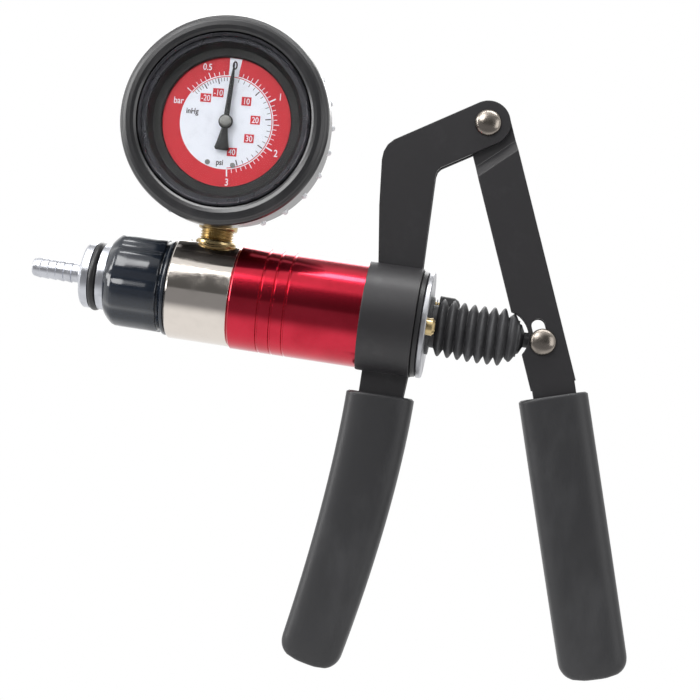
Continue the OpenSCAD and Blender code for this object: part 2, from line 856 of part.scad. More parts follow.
module clamp_rivet() {
    color(steel)
        union() {
            pin_y(band_x0 + 9.5, -60, -clamp_out - 0.8, clamp_out + 0.8, 2.0);
            for (s = [-1, 1])
                pin_y(band_x0 + 9.5, -60, s > 0 ? clamp_out : -clamp_out - 1.2,
                    s > 0 ? clamp_out + 1.2 : -clamp_out, 3.6);
            // spacer between the plates
            pin_y(band_x0 + 9.5, -60, -clamp_gap, clamp_gap, 3.4);
        }
}

// ---------- squeeze lever ----------
// Places a flat drawing so that its Y runs from the pin to the pivot.
module along_lever() {
    translate([pin_x, 0])
        rotate([0, 0, lever_a])
            children();
}

jog_a = 42;
jog_0 = 10.7;
jog_1 = 14.4;
grip_a = lever_a - 5.4;
bend_s = 16;
bend_x = pin_x + bend_s * sin(lever_a);
bend_z = -bend_s * cos(lever_a);
module lever_outline() {
    difference() {
        union() {
            along_lever() {
                translate([-lever_w / 2, -bend_s])
                    square([lever_w, lever_reach + bend_s]);
                translate([0, lever_reach])
                    circle(r = lever_w / 2 - 0.2);
            }
            translate([bend_x, bend_z])
                rotate([0, 0, grip_a])
                    translate([-lever_w / 2 + 0.5, -grip_len + 12])
                        square([lever_w - 1, grip_len - 11]);
        }
        // slot for the rod's pin
        along_lever() {
            translate([0, -0.5])
                circle(r = slot_r);
            translate([0, slot_travel + 0.6])
                circle(r = slot_r);
            translate([-slot_r, -0.5])
                square([2 * slot_r, slot_travel + 1.1]);
        }
        // round notch that clears the end of the bellows
        translate([pin_x - 14.6, 0])
            circle(r = 9.6);
    }
}

// Cross profile of the joggle, from the pivot outwards: x is distance, y is depth.
module joggle_profile() {
    polygon([[-30, -lever_top_gap - plate_t], [jog_0, -lever_top_gap - plate_t],
        [jog_1, -lever_out], [400, -lever_out], [400, -lever_gap],
        [jog_1 + 0.75, -lever_gap], [jog_0 + 0.75, -lever_top_gap], [-30, -lever_top_gap]]);
}

module lever_plate() {
    difference() {
        intersection() {
            slab_y(-lever_out - 1, 0)
                lever_outline();
            translate([pivot_x, 0, pivot_h])
                rotate([0, 90 - jog_a, 0])
                    translate([0, 0, -200])
                        linear_extrude(400)
                            joggle_profile();
        }
        pin_y(pivot_x, pivot_h, -30, 1, 2.6 + run);
        translate([bend_x, 0, bend_z])
            rotate([0, -grip_a, 0])
                pin_y(0, -48, -30, 1, 2.0);
    }
}

module lever_plate_near() {
    color(black)
        lever_plate();
}

module lever_plate_far() {
    color(black)
        mirror([0, 1, 0])
            lever_plate();
}

module lever_rivet() {
    color(steel)
        translate([bend_x, 0, bend_z])
            rotate([0, -grip_a, 0])
                union() {
                    pin_y(0, -48, -lever_out, lever_out, 2.0);
                    for (s = [-1, 1])
                        pin_y(0, -48, s > 0 ? lever_out : -lever_out - 1,
                            s > 0 ? lever_out + 1 : -lever_out, 3.4);
                    pin_y(0, -48, -lever_gap, lever_gap, 3.4);
                }
}

module pivot_rivet() {
    color(nickel)
        union() {
            pin_y(pivot_x, pivot_h, -clamp_out - 0.1, clamp_out + 0.1, 2.6);
            dome(pivot_x, pivot_h, -clamp_out, rivet_head_r, 2.3);
            mirror([0, 1, 0])
                dome(pivot_x, pivot_h, -clamp_out, rivet_head_r, 2.3);
        }
}

// ---------- grips ----------
// One slice of a grip: a rounded rectangle w by t, lying across the grip.
module grip_slice(w, t, r) {
    linear_extrude(0.02)
        hull()
            for (sx = [-1, 1], sy = [-1, 1])
                translate([sx * (w / 2 - r), sy * (t / 2 - r)])
                    circle(r = r, $fn = 28);
}

// Slices listed as [x, z, tilt, width, thickness, corner], joined in order.
module grip_body(s) {
    for (i = [0 : len(s) - 2])
        hull() {
            for (k = [i, i + 1])
                translate([s[k][0], 0, s[k][1]])
                    rotate([0, s[k][2], 0])
                        grip_slice(s[k][3], s[k][4], s[k][5]);
        }
}

// How far down the grip, its sideways bow, and its width, at each slice.
module fixed_grip() {
    gx = band_x0 + 10.4;
    k = grip_len / 100;
    s = [for (p = [[0, 0, -1, -1.2], [0.9, 0, -1, 0], [14, -0.3, 2, 0], [30, -1.6, 5, -0.3],
            [46, -3.4, 7, -0.9], [62, -5.6, 8, -1.4], [78, -8.2, 9.5, -1.8],
            [90, -10.3, 10.5, -2.1], [94.5, -11.1, 10.5, -3.6], [97, -11.5, 10.5, -6.6],
            [98.3, -11.8, 10.5, -11.5]])
        [gx + p[1] * k, -27.4 - p[0] * k, p[2], grip_w + p[3], grip_t - 1 + max(p[3], -6) * 0.7,
         min(6, (grip_t - 1 + max(p[3], -6) * 0.7) / 2 - 0.1)]];
    color(rubber)
        difference() {
            grip_body(s);
            clamp_outline(-clamp_out - 0.02, clamp_out + 0.02);
            pin_y(band_x0 + 9.5, -60, -clamp_out - 1.3, clamp_out + 1.3, 3.7);
        }
}

module lever_grip() {
    k = grip_len / 100;
    s = [for (p = [[0, 0, 0, -1.2], [0.9, 0, 0, 0], [30, 0, 0, 0.2], [62, 0, 0, 0.1],
            [88, 0, 0, -0.5], [94.5, 0, 0, -1.6], [98.2, 0, 0, -4.4], [100.2, 0, 0, -8.6],
            [101.1, 0, 0, -13.5]])
        [p[1], -p[0] * k, p[2], grip_w + p[3], grip_t + max(p[3], -8) * 0.55,
         min(6, (grip_t + max(p[3], -8) * 0.55) / 2 - 0.1)]];
    color(rubber)
        difference() {
            translate([bend_x, 0, bend_z])
                rotate([0, -grip_a, 0])
                    translate([-0.6, 0, -3.6])
                        grip_body(s);
            slab_y(-lever_out - 0.02, lever_out + 0.02)
                lever_outline();
            translate([bend_x, 0, bend_z])
                rotate([0, -grip_a, 0])
                    pin_y(0, -48, -lever_out - 1.1, lever_out + 1.1, 3.5);
        }
}

hose_nozzle();
nozzle_oring();
selector_collar();
detent_ball();
detent_spring();
pump_head();
head_seal();
valve_plate();
intake_valve();
exhaust_valve();
gauge_stem();
stem_nut();
gauge_case();
gauge_boot();
nub_ring();
bezel_ring();
lens();
dial_surround();
dial_plate();
dial_screws();
needle();
needle_cap();
gauge_pinion();
gauge_sector();
gauge_link();
gauge_movement();
bourdon_tube();
barrel();
piston();
piston_seals();
piston_rod();
return_spring();
end_gasket();
end_plate();
rod_bush();
rod_seal();
bellows();
rod_end();
rod_pin();
vent_fitting();
release_button();
release_valve();
release_spring();
clamp_plate_near();
clamp_plate_far();
clamp_rivet();
fixed_grip();
lever_plate_near();
lever_plate_far();
lever_rivet();
lever_grip();
pivot_rivet();
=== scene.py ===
# %% [markdown]
# # Looks for a hand vacuum pump
# A small die-cast and turned pump with a dial gauge, a rubber bellows and two lever grips.
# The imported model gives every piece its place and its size. This file gives each piece the
# finish it has on the real object, and makes the pieces that need a softer surface than the
# frame has: the bellows, the springs, the two rubber grips and the printed dial.

# %% load the frame
import json
import math

import bmesh
import bpy
import numpy as np
from mathutils import Matrix, Vector


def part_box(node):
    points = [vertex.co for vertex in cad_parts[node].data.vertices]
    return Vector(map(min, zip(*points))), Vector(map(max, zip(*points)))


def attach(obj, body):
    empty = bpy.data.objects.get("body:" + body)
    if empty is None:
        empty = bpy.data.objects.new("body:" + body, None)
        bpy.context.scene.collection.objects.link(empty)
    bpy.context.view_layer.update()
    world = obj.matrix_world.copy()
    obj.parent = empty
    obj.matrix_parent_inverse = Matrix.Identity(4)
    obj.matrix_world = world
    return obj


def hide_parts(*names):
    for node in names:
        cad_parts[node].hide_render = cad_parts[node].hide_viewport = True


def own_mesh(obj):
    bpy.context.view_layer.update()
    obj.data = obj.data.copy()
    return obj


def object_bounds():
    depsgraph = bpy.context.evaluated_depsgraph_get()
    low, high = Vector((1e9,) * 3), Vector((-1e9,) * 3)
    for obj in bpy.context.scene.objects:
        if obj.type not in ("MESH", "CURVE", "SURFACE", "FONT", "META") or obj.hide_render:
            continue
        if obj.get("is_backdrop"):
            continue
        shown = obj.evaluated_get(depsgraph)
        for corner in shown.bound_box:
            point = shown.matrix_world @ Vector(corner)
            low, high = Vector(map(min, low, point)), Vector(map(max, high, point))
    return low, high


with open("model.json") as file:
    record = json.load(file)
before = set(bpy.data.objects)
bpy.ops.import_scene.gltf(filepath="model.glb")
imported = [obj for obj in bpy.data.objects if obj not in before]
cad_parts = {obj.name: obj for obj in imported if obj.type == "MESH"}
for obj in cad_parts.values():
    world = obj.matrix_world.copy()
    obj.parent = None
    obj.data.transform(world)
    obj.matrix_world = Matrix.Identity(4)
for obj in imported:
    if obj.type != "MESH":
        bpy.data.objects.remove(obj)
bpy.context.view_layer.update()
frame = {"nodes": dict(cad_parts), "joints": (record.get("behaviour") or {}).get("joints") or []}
nodes = frame["nodes"]
MM = 0.001


# %% [markdown]
# ## Shader arithmetic
# A material is a net of small nodes. Writing `bright * 0.4 + 0.1` is easier to read than
# linking six nodes by hand, so one small class wraps a socket and turns arithmetic into
# Math nodes. Every other node comes from one method, `node`, which sets the node's options
# first and then its inputs.

# %% wrap a socket so that arithmetic adds Math nodes
class Wire:
    def __init__(self, tree, socket):
        self.tree, self.socket = tree, socket

    def node(self, kind, settings=None, inputs=None, out=0):
        """Adds a node: its settings first, then each input as a value or as a link."""
        made = self.tree.nodes.new(kind)
        for key, value in (settings or {}).items():
            if key == "stops":
                ramp = made.color_ramp.elements
                while len(ramp) < len(value):
                    ramp.new(0.5)
                for stop, (place, colour) in zip(ramp, value):
                    stop.position = place
                    stop.color = (*colour, 1) if len(colour) == 3 else colour
            else:
                setattr(made, key, value)
        for key, value in (inputs or {}).items():
            if isinstance(value, Wire):
                self.tree.links.new(value.socket, made.inputs[key])
            else:
                made.inputs[key].default_value = value
        return Wire(self.tree, made.outputs[out])

    def math(self, operation, *values):
        return self.node("ShaderNodeMath", {"operation": operation}, dict(enumerate(values)))

    def __add__(self, other): return self.math("ADD", self, other)
    def __sub__(self, other): return self.math("SUBTRACT", self, other)
    def __mul__(self, other): return self.math("MULTIPLY", self, other)
    def __radd__(self, other): return self.math("ADD", other, self)
    def __rsub__(self, other): return self.math("SUBTRACT", other, self)
    def __rmul__(self, other): return self.math("MULTIPLY", other, self)

    def sharpen(self, low, high):
        """A smooth step: 0 below low, 1 above high."""
        return self.node("ShaderNodeMapRange", {"interpolation_type": "SMOOTHSTEP"},
                         {0: self, 1: low, 2: high, 3: 0.0, 4: 1.0})

    def mix(self, a, b):
        """Colour a where this is 0 and colour b where it is 1."""
        colours = {6: a if isinstance(a, Wire) else (*a, 1), 7: b if isinstance(b, Wire) else (*b, 1)}
        return self.node("ShaderNodeMix", {"data_type": "RGBA"}, {0: self, **colours}, out=2)


print("shader arithmetic ready")


# %% [markdown]
# ## A finish
# A finish starts as the Principled shader with its steady values on its own sockets. What
# varies over a surface is colour, roughness and the small relief that a Bump node makes.
# A Bevel node rounds the stamped and turned edges a little, which is what catches the light
# on a real edge. It shapes only the Normal.

# %% start a material, and finish it
def begin(name, **steady):
    """A new material with its Principled shader; steady values go on the shader's sockets."""
    material = bpy.data.materials.new(name)
    material.use_nodes = True
    tree = material.node_tree
    shader = tree.nodes["Principled BSDF"]
    for key, value in steady.items():
        shader.inputs[key.replace("_", " ")].default_value = value
    place = Wire(tree, tree.nodes.new("ShaderNodeTexCoord").outputs["Object"])
    return material, shader, place


def noise(place, scale, detail=3.0, rough=0.5, stretch=(1, 1, 1)):
    """Cloudy noise: scale is in lumps per metre, stretch squeezes it along an axis."""
    turned = place.node("ShaderNodeMapping", {}, {0: place, 3: stretch})
    return place.node("ShaderNodeTexNoise", {}, {"Vector": turned, "Scale": scale,
                                                 "Detail": detail, "Roughness": rough})


def put(material, shader, colour=None, rough=None, relief=None, depth=0.02, edge=0.0, metal=None):
    """Links what varies: colour, roughness, metal, and relief in mm with rounded edges."""
    tree = material.node_tree
    for key, wire in (("Base Color", colour), ("Roughness", rough), ("Metallic", metal)):
        if wire is not None:
            tree.links.new(wire.socket, shader.inputs[key])
    first = colour or rough or relief
    normal = None
    if edge:
        normal = first.node("ShaderNodeBevel", {"samples": 6}, {"Radius": edge * MM})
    if relief is not None:
        inputs = {"Height": relief, "Distance": depth * MM, "Strength": 1.0}
        if normal is not None:
            inputs["Normal"] = normal
        normal = first.node("ShaderNodeBump", {}, inputs)
    if normal is not None:
        tree.links.new(normal.socket, shader.inputs["Normal"])
    print("finish", material.name)
    return material


# %% [markdown]
# ## Turned and plated metals
# A lathe leaves fine rings round the axis of a part. They depend only on how far along the
# axis a point is and how far out, so one line of noise over that sum draws them. Handling
# adds soft smudges that dull the gloss in patches. Each metal differs in its colour, in how
# deep the rings are and in how sharply it reflects.

# %% turned metals
def rgb(red, green, blue):
    """A screen colour, 0 to 255, as the linear light value that the shader takes."""
    return tuple(((c / 255 + 0.055) / 1.055) ** 2.4 for c in (red, green, blue))


def along_and_out(place, centre=(0, 0, 0), axis="X"):
    """Distance along an axis, and distance out from it, both in metres."""
    moved = place.node("ShaderNodeVectorMath", {"operation": "SUBTRACT"}, {0: place, 1: centre})
    split = moved.node("ShaderNodeSeparateXYZ", {}, {0: moved})
    parts = {a: Wire(split.tree, split.socket.node.outputs[a]) for a in "XYZ"}
    along = parts.pop(axis)
    one, two = parts.values()
    return along, (one * one + two * two).math("SQRT")


def turned_metal(name, colour, gloss, rings=2600.0, depth=0.004, centre=(0, 0, 0), axis="X",
                 tarnish=0.86, edge=0.15, **steady):
    material, shader, place = begin(name, Metallic=1.0, **steady)
    along, out = along_and_out(place, centre, axis)
    lines = along.node("ShaderNodeTexNoise", {"noise_dimensions": "1D"},
                       {"W": along + out, "Scale": rings, "Detail": 3.0})
    smudge = noise(place, 160.0, 4.0, 0.6)
    patches = smudge.sharpen(0.42, 0.7)
    tone = patches.mix(colour, tuple(c * tarnish for c in colour))
    rough = gloss + patches * (gloss * 0.7 + 0.03) + lines * 0.06
    return put(material, shader, tone, rough, lines, depth, edge)


GAUGE = [(a + b) / 2 for a, b in zip(*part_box("dial_plate"))]
STEM = [(a + b) / 2 for a, b in zip(*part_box("gauge_stem"))]
PIVOT = [(a + b) / 2 for a, b in zip(*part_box("pivot_rivet"))]
made = {
    "bright_aluminium": turned_metal("bright_aluminium", rgb(200, 202, 208), 0.26, depth=0.004),
    "polished_nickel": turned_metal("polished_nickel", rgb(222, 214, 206), 0.07, depth=0.0006,
                                    tarnish=0.97),
    "steel": turned_metal("steel", rgb(188, 189, 192), 0.3),
    "brass": turned_metal("brass", rgb(198, 176, 130), 0.22, centre=STEM, axis="Z",
                          tarnish=0.8, depth=0.004),
    "bezel_metal": turned_metal("bezel_metal", rgb(66, 66, 70), 0.24, centre=GAUGE, axis="Y",
                                tarnish=0.95, depth=0.001, edge=0.1),
    "cap_metal": turned_metal("cap_metal", rgb(128, 128, 126), 0.3, centre=GAUGE, axis="Y",
                              rings=9000.0),
    "rivet_nickel": turned_metal("rivet_nickel", rgb(150, 142, 134), 0.2, axis="Y",
                                 centre=PIVOT, tarnish=0.72, depth=0.0012, edge=0.05),
    "plate_aluminium": turned_metal("plate_aluminium", rgb(186, 187, 191), 0.28, depth=0.006),
}


# %% [markdown]
# ## Red anodising
# Anodising grows a clear dyed oxide on polished aluminium. It looks like a deep red glass
# over metal, so the base is metallic and red with a clear coat over it. The dye is a little
# uneven and the turning lines show through it.

# %% red anodised barrel
material, shader, place = begin("red_anodised", Metallic=1.0, Coat_Weight=0.3, Coat_Roughness=0.06)
along, out = along_and_out(place)
lines = along.node("ShaderNodeTexNoise", {"noise_dimensions": "1D"},
                   {"W": along + out, "Scale": 3200.0, "Detail": 3.0})
cloud = noise(place, 90.0, 4.0, 0.55)
dye = cloud.sharpen(0.3, 0.75).mix(rgb(200, 40, 62), rgb(184, 30, 52))
made["red_anodised"] = put(material, shader, dye, 0.15 + lines * 0.03 + cloud * 0.05, lines,
                           0.0012, edge=0.12)


# %% [markdown]
# ## Powder coat
# The stamped steel plates are powder coated. The powder melts into a skin like fine orange
# peel, satin rather than glossy. It wears thin first on corners and round the rivets, which
# a little extra gloss and a paler tone in patches suggest. Stamping rounds one side of the
# cut edge, so the edge is softened by 0.45 mm.

# %% powder coated lever plates
material, shader, place = begin("lever_black", Specular_IOR_Level=0.5)
peel = noise(place, 2100.0, 2.0, 0.5)
rub = noise(place, 120.0, 5.0, 0.65).sharpen(0.5, 0.78)
tone = rub.mix(rgb(33, 32, 34), rgb(42, 41, 43))
made["lever_black"] = put(material, shader, tone, 0.38 - rub * 0.08 + peel * 0.08, peel, 0.012,
                          edge=0.45)


# %% [markdown]
# ## Rubbers and moulded plastics
# Moulded rubber copies the skin of its mould: a fine spark-eroded grain, matt, with a faint
# grey bloom in patches. The collar is a harder, glossier plastic with a
# slight blue cast and only shallow flow marks. One function makes them all.

# %% rubbers and plastics
def moulded(name, colour, bloom, gloss, grain=1500.0, depth=0.02, edge=0.3, **steady):
    material, shader, place = begin(name, **steady)
    skin = noise(place, grain, 3.0, 0.6)
    flow = noise(place, 70.0, 4.0, 0.6, stretch=(1, 1, 0.4))
    haze = flow.sharpen(0.45, 0.75)
    tone = haze.mix(colour, bloom)
    return put(material, shader, tone, gloss + haze * 0.09 + skin * 0.1, skin, depth, edge)


made.update({
    "grip_rubber": moulded("grip_rubber", rgb(35, 35, 37), rgb(44, 44, 46), 0.4, 1900.0, 0.016),
    "boot_rubber": moulded("boot_rubber", rgb(27, 27, 29), rgb(36, 35, 37), 0.27, 1700.0, 0.008,
                           Coat_Weight=0.5, Coat_Roughness=0.22),
    "bellows_rubber": moulded("bellows_rubber", rgb(48, 48, 50), rgb(66, 66, 68), 0.5, 2200.0, 0.03),
    "seal_rubber": moulded("seal_rubber", rgb(26, 26, 28), rgb(36, 36, 38), 0.3, 900.0, 0.006),
    "rod_end_black": moulded("rod_end_black", rgb(34, 34, 36), rgb(46, 46, 48), 0.34, 1500.0, 0.012),
    "collar_plastic": moulded("collar_plastic", rgb(20, 26, 35), rgb(26, 32, 41), 0.1, 500.0, 0.003,
                              edge=0.25, Coat_Weight=0.35, Coat_Roughness=0.08),
    "case_black": moulded("case_black", rgb(15, 15, 16), rgb(22, 22, 23), 0.5, 2600.0, 0.014),
    "needle_black": moulded("needle_black", rgb(18, 18, 20), rgb(26, 26, 28), 0.4, 3000.0, 0.003,
                            edge=0.08),
    "clear_band": moulded("clear_band", rgb(222, 224, 228), rgb(208, 210, 214), 0.3, 800.0, 0.01,
                          edge=0.2, Subsurface_Weight=0.15, Subsurface_Radius=(0.003, 0.003, 0.003),
                          Subsurface_Scale=0.4),
})


# %% [markdown]
# ## Printed dial and window
# The dial is red enamel printed on a thin plate, white in the middle. The enamel is satin
# with a faint orange peel. The window is clear acrylic: it lets light through, with a weak
# reflection and fine wipe marks in its gloss.

# %% dial inks and the clear window
def ink(name, colour, worn, gloss=0.42):
    material, shader, place = begin(name, Specular_IOR_Level=0.4)
    peel = noise(place, 5200.0, 2.0)
    fade = noise(place, 300.0, 4.0, 0.6).sharpen(0.45, 0.75)
    return put(material, shader, fade.mix(colour, worn), gloss + peel * 0.1, peel, 0.002)


made["dial_red"] = ink("dial_red", rgb(196, 36, 48), rgb(188, 31, 43))
INK = {
    "white": ink("ink_white", rgb(226, 229, 238), rgb(218, 221, 230)),
    "dark": ink("ink_dark", rgb(50, 38, 44), rgb(62, 48, 54)),
    "red": ink("ink_red", rgb(196, 36, 48), rgb(188, 32, 44)),
}
material, shader, place = begin("lens_clear", Transmission_Weight=1.0, IOR=1.12, Specular_IOR_Level=0.5)
wipe = noise(place, 60.0, 5.0, 0.6, stretch=(1, 1, 5))
shader.inputs["Base Color"].default_value = (0.985, 0.99, 0.99, 1)
made["lens_clear"] = put(material, shader, None, 0.01 + wipe.sharpen(0.5, 0.9) * 0.03)

# %% give every frame piece its finish
for name, piece in nodes.items():
    slot = piece.data.materials[0].name.split(".")[0] if piece.data.materials else ""
    if slot not in made:
        print("no finish for", name, slot)
        continue
    for index in range(len(piece.data.materials)):
        piece.data.materials[index] = made["cap_metal" if name == "dial_screws" else slot]
print(len(made), "finishes")


# %% [markdown]
# ## Surfaces from numpy grids
# The new pieces are surfaces with two parameters: one runs along the piece and one runs
# round it. A grid of points is worked out as whole arrays, and neighbouring rows are joined
# by four-sided faces. Where an end should be closed, the row there shrinks to one point.

# %% turn a grid of points into a mesh
def grid_faces(rows, cols):
    """Faces of a grid whose columns join up with themselves, as rows of four point numbers.
    Face (i, j) uses the corners (i, j), (i, j+1), (i+1, j+1) and (i+1, j)."""
    i, j = np.meshgrid(np.arange(rows - 1), np.arange(cols), indexing="ij")
    k = (j + 1) % cols
    faces = np.stack([i * cols + j, i * cols + k, (i + 1) * cols + k, (i + 1) * cols + j], -1)
    return faces.reshape(-1, 4)


def grid_piece(name, points, body, finish, close_ends=False):
    """points has the shape (along, round, 3) in mm; the round direction joins up with itself."""
    rows, cols = points.shape[:2]
    faces = grid_faces(rows, cols).tolist()
    if close_ends:
        faces += [list(range(cols))[::-1], list(range((rows - 1) * cols, rows * cols))]
    mesh = bpy.data.meshes.new(name)
    mesh.from_pydata((points.reshape(-1, 3) * MM).tolist(), [], faces)
    mesh.validate()
    return settle(name, mesh, body, finish)


def settle(name, mesh, body, finish, smooth=True):
    """Smooths a mesh, points its faces outwards, gives it its finish and lets it ride."""
    work = bmesh.new()
    work.from_mesh(mesh)
    bmesh.ops.remove_doubles(work, verts=work.verts, dist=1e-7)
    if smooth:
        bmesh.ops.recalc_face_normals(work, faces=work.faces)
    work.to_mesh(mesh)
    work.free()
    mesh.polygons.foreach_set("use_smooth", [smooth] * len(mesh.polygons))
    mesh.materials.clear()
    mesh.materials.append(finish)
    piece = bpy.data.objects.new(name, mesh)
    bpy.context.scene.collection.objects.link(piece)
    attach(piece, body)
    print(name, len(mesh.polygons), "faces on", body)
    return piece


# %% [markdown]
# ## Bellows
# A rubber bellows keeps dust off the piston rod. It is a thin dipped moulding whose wall
# swings between ridges and valleys, so its radius is a wave along its length. Round crests
# and tighter valleys come from raising the wave to a power. The foot is a plain collar, the
# last fold is smaller and ends in a neck on the rod's nut. Its weight makes it sag a little.

# %% bellows
lo, hi = (np.array(c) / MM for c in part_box("bellows"))
FOOT, NECK = lo[0], hi[0]
RIDGE = (hi[2] - lo[2]) / 2 - 0.05


def bellows(rows=420, cols=96):
    """Radius at a place along: valley + (ridge - valley) * (half cosine wave) ** 0.62.
    The wave's amplitude fades over the last fold; the axis drops by 0.5 mm at mid-length."""
    u = np.linspace(0, 1, rows)[:, None]
    turn = np.linspace(0, 2 * np.pi, cols, endpoint=False)[None, :]
    folds = 8
    start = 0.085
    v = np.clip((u - start) / (0.985 - start), 0, 1)
    wave = (0.5 - 0.5 * np.cos(2 * np.pi * folds * v)) ** 0.62
    crest = RIDGE - 1.7 * np.clip((v * folds - 7) * 4, 0, 1)
    valley = RIDGE - 2.7 - 1.2 * np.clip(v * folds - 6.5, 0, 1)
    radius = valley + (crest - valley) * wave
    radius = np.where(u < 0.03, RIDGE, radius)
    radius = radius + 0.06 * np.sin(3 * turn + 9 * u) * wave
    x = FOOT + (NECK - FOOT) * u + 0 * turn
    sag = -0.5 * np.sin(np.pi * u) ** 2
    skin = np.stack([x, radius * np.cos(turn), radius * np.sin(turn) + sag], -1)
    inner = radius[::-1] - 0.9
    lining = np.stack([x[::-1], inner * np.cos(turn), inner * np.sin(turn) + sag[::-1]], -1)
    return np.concatenate([skin, lining, skin[:1]])


STROKE = [j for j in frame["joints"] if j["name"] == "rod_slide"][0]["range_m"][1] / MM
piece = grid_piece("bellows_skin", bellows(), "pump", made["bellows_rubber"])
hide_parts("bellows")
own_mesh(piece)


# %% [markdown]
# ## Springs
# A coil spring is round wire carried along a helix, with its end turns closed up so that
# they sit flat. The wire's circle is laid out in two directions: straight out from the
# axis, and across both that and the wire's own direction.

# %% springs
def spring(x0, x1, radius, wire, turns, y=0.0, z=0.0, rows_per_turn=28, cols=12):
    """Helix: angle = 2 pi turns t, place along = a smooth ramp of t that is flat at both
    ends. Each point of the wire's circle = centre + wire * (cos a * out + sin a * across)."""
    t = np.linspace(0, 1, int(turns * rows_per_turn))
    angle = 2 * np.pi * turns * t
    ease = 0.86 * t + 0.14 * (3 * t**2 - 2 * t**3)
    along = x0 + wire + (x1 - x0 - 2 * wire) * ease
    out = np.stack([0 * t, np.cos(angle), np.sin(angle)], -1)
    centre = np.stack([along, y + radius * np.cos(angle), z + radius * np.sin(angle)], -1)
    course = np.gradient(centre, axis=0)
    course /= np.linalg.norm(course, axis=1)[:, None]
    across = np.cross(course, out)
    a = np.linspace(0, 2 * np.pi, cols, endpoint=False)
    ring = out[:, None] * np.cos(a)[None, :, None] + across[:, None] * np.sin(a)[None, :, None]
    return centre[:, None] + wire * ring


for node, joint, anchor_low, turns, travel in (
        ("return_spring", "rod_slide", True, 8, STROKE),
        ("release_spring", "release_press", True, 2,
         [j for j in frame["joints"] if j["name"] == "release_press"][0]["range_m"][1] / MM)):
    lo, hi = (np.array(c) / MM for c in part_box(node))
    reach = (hi[2] - lo[2]) / 2
    wire = 0.75 if node == "return_spring" else 0.2
    centre = (lo + hi) / 2
    points = spring(lo[0], hi[0], reach - wire, wire, turns, centre[1], centre[2])
    piece = grid_piece(node + "_wire", points, "pump", made["steel"], close_ends=True)
    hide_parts(node)
    length = hi[0] - lo[0]
    max(0.05, 1 - travel / length)
    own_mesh(piece)


# %% [markdown]
# ## Rubber grips
# Each grip is a sleeve moulded over the tang of the lever. Its cross cut is between a
# rectangle and an ellipse, which a superellipse gives with one number. The fixed grip bows
# gently to fill the palm and narrows downwards, and the squeeze grip is straight. The two
# halves of the mould leave a fine raised line along both edges.

# %% grips
def sleeve(length, width, thick, bow, taper, end=7.0, rows=150, cols=96, power=3.3):
    """A grip hanging from (0, 0, 0): at a distance d down, the centre is at x = bow(d) and
    the cross cut is |x / half width| ** power + |y / half thickness| ** power = 1.
    Both ends round over on a quarter circle, then close in to a point."""
    d = np.concatenate([np.zeros(6), np.linspace(0, 1, rows) ** 1.0 * length, np.full(6, length)])
    inset = np.concatenate([np.linspace(0, 1, 7)[:-1], np.ones(rows), np.linspace(1, 0, 7)[1:]])
    top = 1 - 0.9 * (1 - np.sqrt(1 - np.clip(1 - d / 0.9, 0, 1) ** 2)) / (width / 2)
    drop = np.clip((d - (length - end)) / end, 0, 1)
    round_off = 1 - (1 - np.sqrt(np.clip(1 - drop ** 2.4, 0, 1))) * 0.55
    scale = inset * np.minimum(top, round_off)
    a = np.linspace(0, 2 * np.pi, cols, endpoint=False)[None, :]
    c, s = np.cos(a), np.sin(a)
    half_w = ((width - taper(d)) / 2 * scale)[:, None]
    half_t = ((thick - 0.7 * taper(d)) / 2 * (scale + inset) / 2)[:, None]
    u = half_w * np.sign(c) * np.abs(c) ** (2 / power)
    v = half_t * np.sign(s) * np.abs(s) ** (2 / power)
    line = 0.12 * np.exp(-(v / 0.45) ** 2) * (np.abs(c) > 0.8) * scale[:, None]
    u = u + np.sign(c) * line
    lean = np.gradient(bow(d + np.arange(len(d)) * 1e-6), d + np.arange(len(d)) * 1e-6)[:, None]
    tilt = 1 / np.sqrt(1 + lean ** 2)
    x = bow(d)[:, None] + u * tilt
    z = -d[:, None] + u * lean * tilt
    return np.stack([x, v + 0 * x, z], -1)


def turn_y(points, degrees, origin):
    """Turns points about Y so that straight down swings towards +X, then moves them."""
    a = math.radians(degrees)
    x, y, z = points[..., 0], points[..., 1], points[..., 2]
    return np.stack([x * math.cos(a) - z * math.sin(a), y,
                     x * math.sin(a) + z * math.cos(a)], -1) + np.array(origin)


low, high = (np.array(c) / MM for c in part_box("fixed_grip"))
top_x = high[0] - 12.6
fixed = sleeve(high[2] - low[2] - 0.2, 24.6, 15.0, lambda d: -1.6 * (d / 30) ** 1.68,
               lambda d: 2.1 * (d / 90) ** 1.7)
fixed = fixed + np.array([top_x, 0, high[2]])
piece = grid_piece("fixed_grip_sleeve", fixed, "pump", made["grip_rubber"])
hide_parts("fixed_grip")

pin = np.array([sum(c) / 2 for c in zip(*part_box("rod_pin"))]) / MM
pivot = np.array(PIVOT) / MM
lever_lean = math.degrees(math.atan2(pin[0] - pivot[0], pivot[2] - pin[2]))
grip_lean = lever_lean - 5.4
bend = pin + 16 * np.array([math.sin(math.radians(lever_lean)), 0,
                            -math.cos(math.radians(lever_lean))])
squeeze = sleeve(101.0, 24.7, 16.0, lambda d: 0 * d, lambda d: 0.5 * (d / 100) ** 3)
squeeze = turn_y(squeeze + np.array([-0.6, 0, -3.6]), grip_lean, bend * [1, 0, 1])
piece = grid_piece("lever_grip_sleeve", squeeze, "lever", made["grip_rubber"])
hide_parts("lever_grip")
print("lever leans", round(lever_lean, 2), "degrees")


# %% [markdown]
# ## Domed rivets
# The top pivot and the rod's pin are plated rivets with low domed heads on both sides. A
# head is part of a sphere with a small rolled edge, and the shank between them is straight,
# so the whole rivet is one profile turned about its axis.

